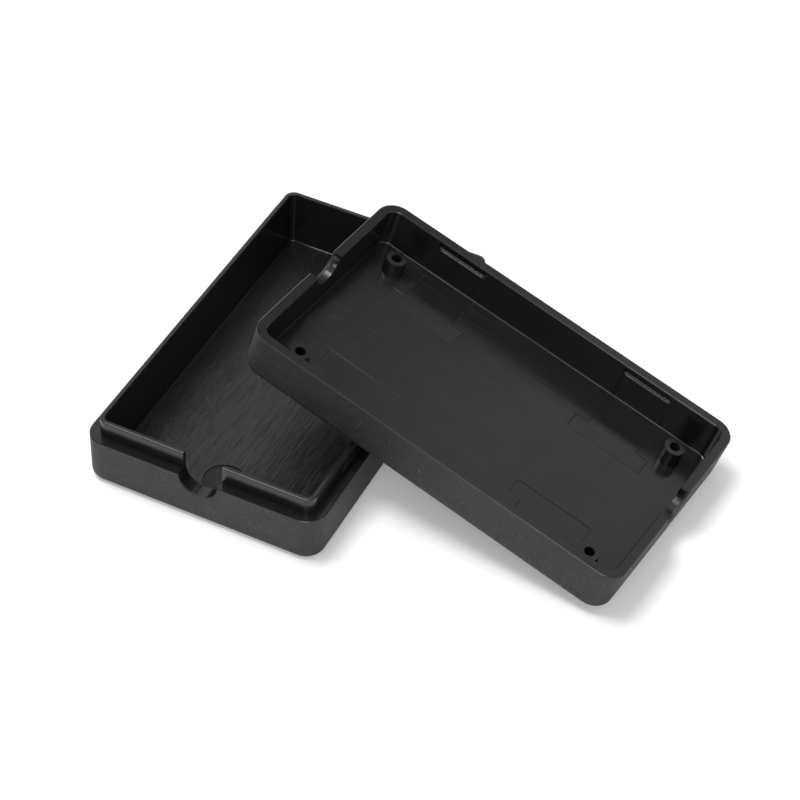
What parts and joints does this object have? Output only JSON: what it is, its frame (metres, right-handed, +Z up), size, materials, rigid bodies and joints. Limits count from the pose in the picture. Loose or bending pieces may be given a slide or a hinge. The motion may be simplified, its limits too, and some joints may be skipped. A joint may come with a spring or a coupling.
{
  "type": "plastic project housing",
  "caption": "Shallow black plastic housing in two snap-together half shells, shown apart: the open base lies flat and the open cover leans crosswise on its edge.",
  "frame": {"origin": "centre of the base shell's underside", "axes": "+X along the base's length, +Z up out of the open base; the cover leans on the base's -Y side"},
  "size_m": [0.1, 0.1313, 0.0365],
  "materials": {
    "moulded_black": "fine spark texture outside, smooth inside"
  },
  "bodies": {
    "root": {"base_shell": "moulded_black", "cover_shell": "moulded_black"}
  },
  "joints": []
}
